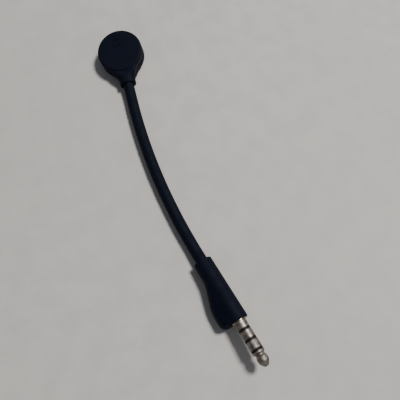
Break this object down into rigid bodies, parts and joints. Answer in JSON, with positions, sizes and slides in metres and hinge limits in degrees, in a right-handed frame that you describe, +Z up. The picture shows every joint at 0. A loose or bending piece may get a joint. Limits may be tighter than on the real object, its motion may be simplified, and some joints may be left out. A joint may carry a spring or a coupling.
{
  "type": "headset boom microphone",
  "caption": "Detachable headset microphone: flat round head with sound inlets, bendable rubber boom and keyed plug shell with a four-pole 3.5 mm jack.",
  "frame": {"origin": "centre of the jack's seat, the front face of its flange, on the jack's axis", "axes": "+Z up, with the part lying on a level surface; +X is the way the jack points seen from above, and the jack rises 7 degrees to its tip"},
  "size_m": [0.113, 0.0253, 0.0081],
  "materials": {
    "boom_jacket": "smooth satin elastomer, near black",
    "shell_plastic": "fine satin moulded plastic, blue-black",
    "jack_plating": "polished pale nickel plating",
    "jack_insulator": "moulded black",
    "bend_wire": "soft annealed copper",
    "lead_insulation": "extruded",
    "filling_plastic": "moulded",
    "ferrule_brass": "crimped",
    "acoustic_mesh": "fine woven mesh",
    "foam": "open cell",
    "boot_rubber": "soft moulded",
    "capsule_can": "drawn",
    "diaphragm_film": "metallised film",
    "capsule_brass": "stamped",
    "capsule_plastic": "moulded",
    "board": "glass-fibre laminate with solder mask",
    "chip": "moulded"
  },
  "bodies": {
    "plug": {"jack_tip": "jack_plating", "tip_insulator": "jack_insulator", "jack_ring_1": "jack_plating", "ring_insulator": "jack_insulator", "jack_ring_2": "jack_plating", "sleeve_insulator": "jack_insulator", "jack_sleeve": "jack_plating", "plug_shell_upper": "shell_plastic", "plug_shell_lower": "shell_plastic", "plug_leads": "lead_insulation", "plug_filling": "filling_plastic", "plug_ferrule": "ferrule_brass", "boom_jacket_0": "boom_jacket", "boom_bend_wire_0": "bend_wire", "boom_leads_0": "lead_insulation"},
    "boom_length_1": {"boom_jacket_1": "boom_jacket", "boom_bend_wire_1": "bend_wire", "boom_leads_1": "lead_insulation"},
    "boom_length_2": {"boom_jacket_2": "boom_jacket", "boom_bend_wire_2": "bend_wire", "boom_leads_2": "lead_insulation"},
    "boom_length_3": {"boom_jacket_3": "boom_jacket", "boom_bend_wire_3": "bend_wire", "boom_leads_3": "lead_insulation"},
    "boom_length_4": {"boom_jacket_4": "boom_jacket", "boom_bend_wire_4": "bend_wire", "boom_leads_4": "lead_insulation"},
    "boom_length_5": {"boom_jacket_5": "boom_jacket", "boom_bend_wire_5": "bend_wire", "boom_leads_5": "lead_insulation"},
    "boom_length_6": {"boom_jacket_6": "boom_jacket", "boom_bend_wire_6": "bend_wire", "boom_leads_6": "lead_insulation"},
    "boom_length_7": {"boom_jacket_7": "boom_jacket", "boom_bend_wire_7": "bend_wire", "boom_leads_7": "lead_insulation"},
    "head": {"head_front_shell": "shell_plastic", "head_rear_shell": "shell_plastic", "acoustic_mesh": "acoustic_mesh", "foam_disc": "foam", "capsule_boot": "boot_rubber", "backing_pad": "foam", "capsule_can": "capsule_can", "diaphragm_ring": "capsule_brass", "diaphragm": "diaphragm_film", "diaphragm_spacer": "capsule_plastic", "backplate": "capsule_brass", "insulator_cup": "capsule_plastic", "gate_ring": "capsule_brass", "capsule_board": "board", "fet_chip": "chip", "head_leads": "lead_insulation", "head_ferrule": "ferrule_brass", "boom_jacket_8": "boom_jacket", "boom_bend_wire_8": "bend_wire", "boom_leads_8": "lead_insulation"}
  },
  "joints": [
    {"name": "boom_lift_1", "type": "hinge", "parent": "plug", "child": "boom_length_1", "pos_m": [-0.02332, 0, -0.00286], "axis": [-0.0214, -0.9998, 0], "range_deg": [-20, 20]},
    {"name": "boom_swing_1", "type": "hinge", "parent": "boom_length_1", "child": "boom_length_2", "pos_m": [-0.03115, 0.00017, -0.00287], "axis": [0, 0, 1], "range_deg": [-20, 20]},
    {"name": "boom_lift_2", "type": "hinge", "parent": "boom_length_2", "child": "boom_length_3", "pos_m": [-0.03898, 0.00067, -0.00288], "axis": [-0.0852, -0.9964, 0], "range_deg": [-20, 20]},
    {"name": "boom_swing_2", "type": "hinge", "parent": "boom_length_3", "child": "boom_length_4", "pos_m": [-0.04681, 0.00151, -0.00288], "axis": [0, 0, 1], "range_deg": [-20, 20]},
    {"name": "boom_lift_3", "type": "hinge", "parent": "boom_length_4", "child": "boom_length_5", "pos_m": [-0.05464, 0.00268, -0.00289], "axis": [-0.1686, -0.9857, 0], "range_deg": [-20, 20]},
    {"name": "boom_swing_3", "type": "hinge", "parent": "boom_length_5", "child": "boom_length_6", "pos_m": [-0.06247, 0.00418, -0.0029], "axis": [0, 0, 1], "range_deg": [-20, 20]},
    {"name": "boom_lift_4", "type": "hinge", "parent": "boom_length_6", "child": "boom_length_7", "pos_m": [-0.0703, 0.00602, -0.0029], "axis": [-0.2485, -0.9686, 0], "range_deg": [-20, 20]},
    {"name": "boom_swing_4", "type": "hinge", "parent": "boom_length_7", "child": "head", "pos_m": [-0.07812, 0.0082, -0.00291], "axis": [0, 0, 1], "range_deg": [-20, 20]}
  ],
  "couplings": [
    {"joint": "boom_lift_2", "follows": "boom_lift_1", "ratio": 1},
    {"joint": "boom_swing_2", "follows": "boom_swing_1", "ratio": 1},
    {"joint": "boom_lift_3", "follows": "boom_lift_1", "ratio": 1},
    {"joint": "boom_swing_3", "follows": "boom_swing_1", "ratio": 1},
    {"joint": "boom_lift_4", "follows": "boom_lift_1", "ratio": 1},
    {"joint": "boom_swing_4", "follows": "boom_swing_1", "ratio": 1}
  ]
}
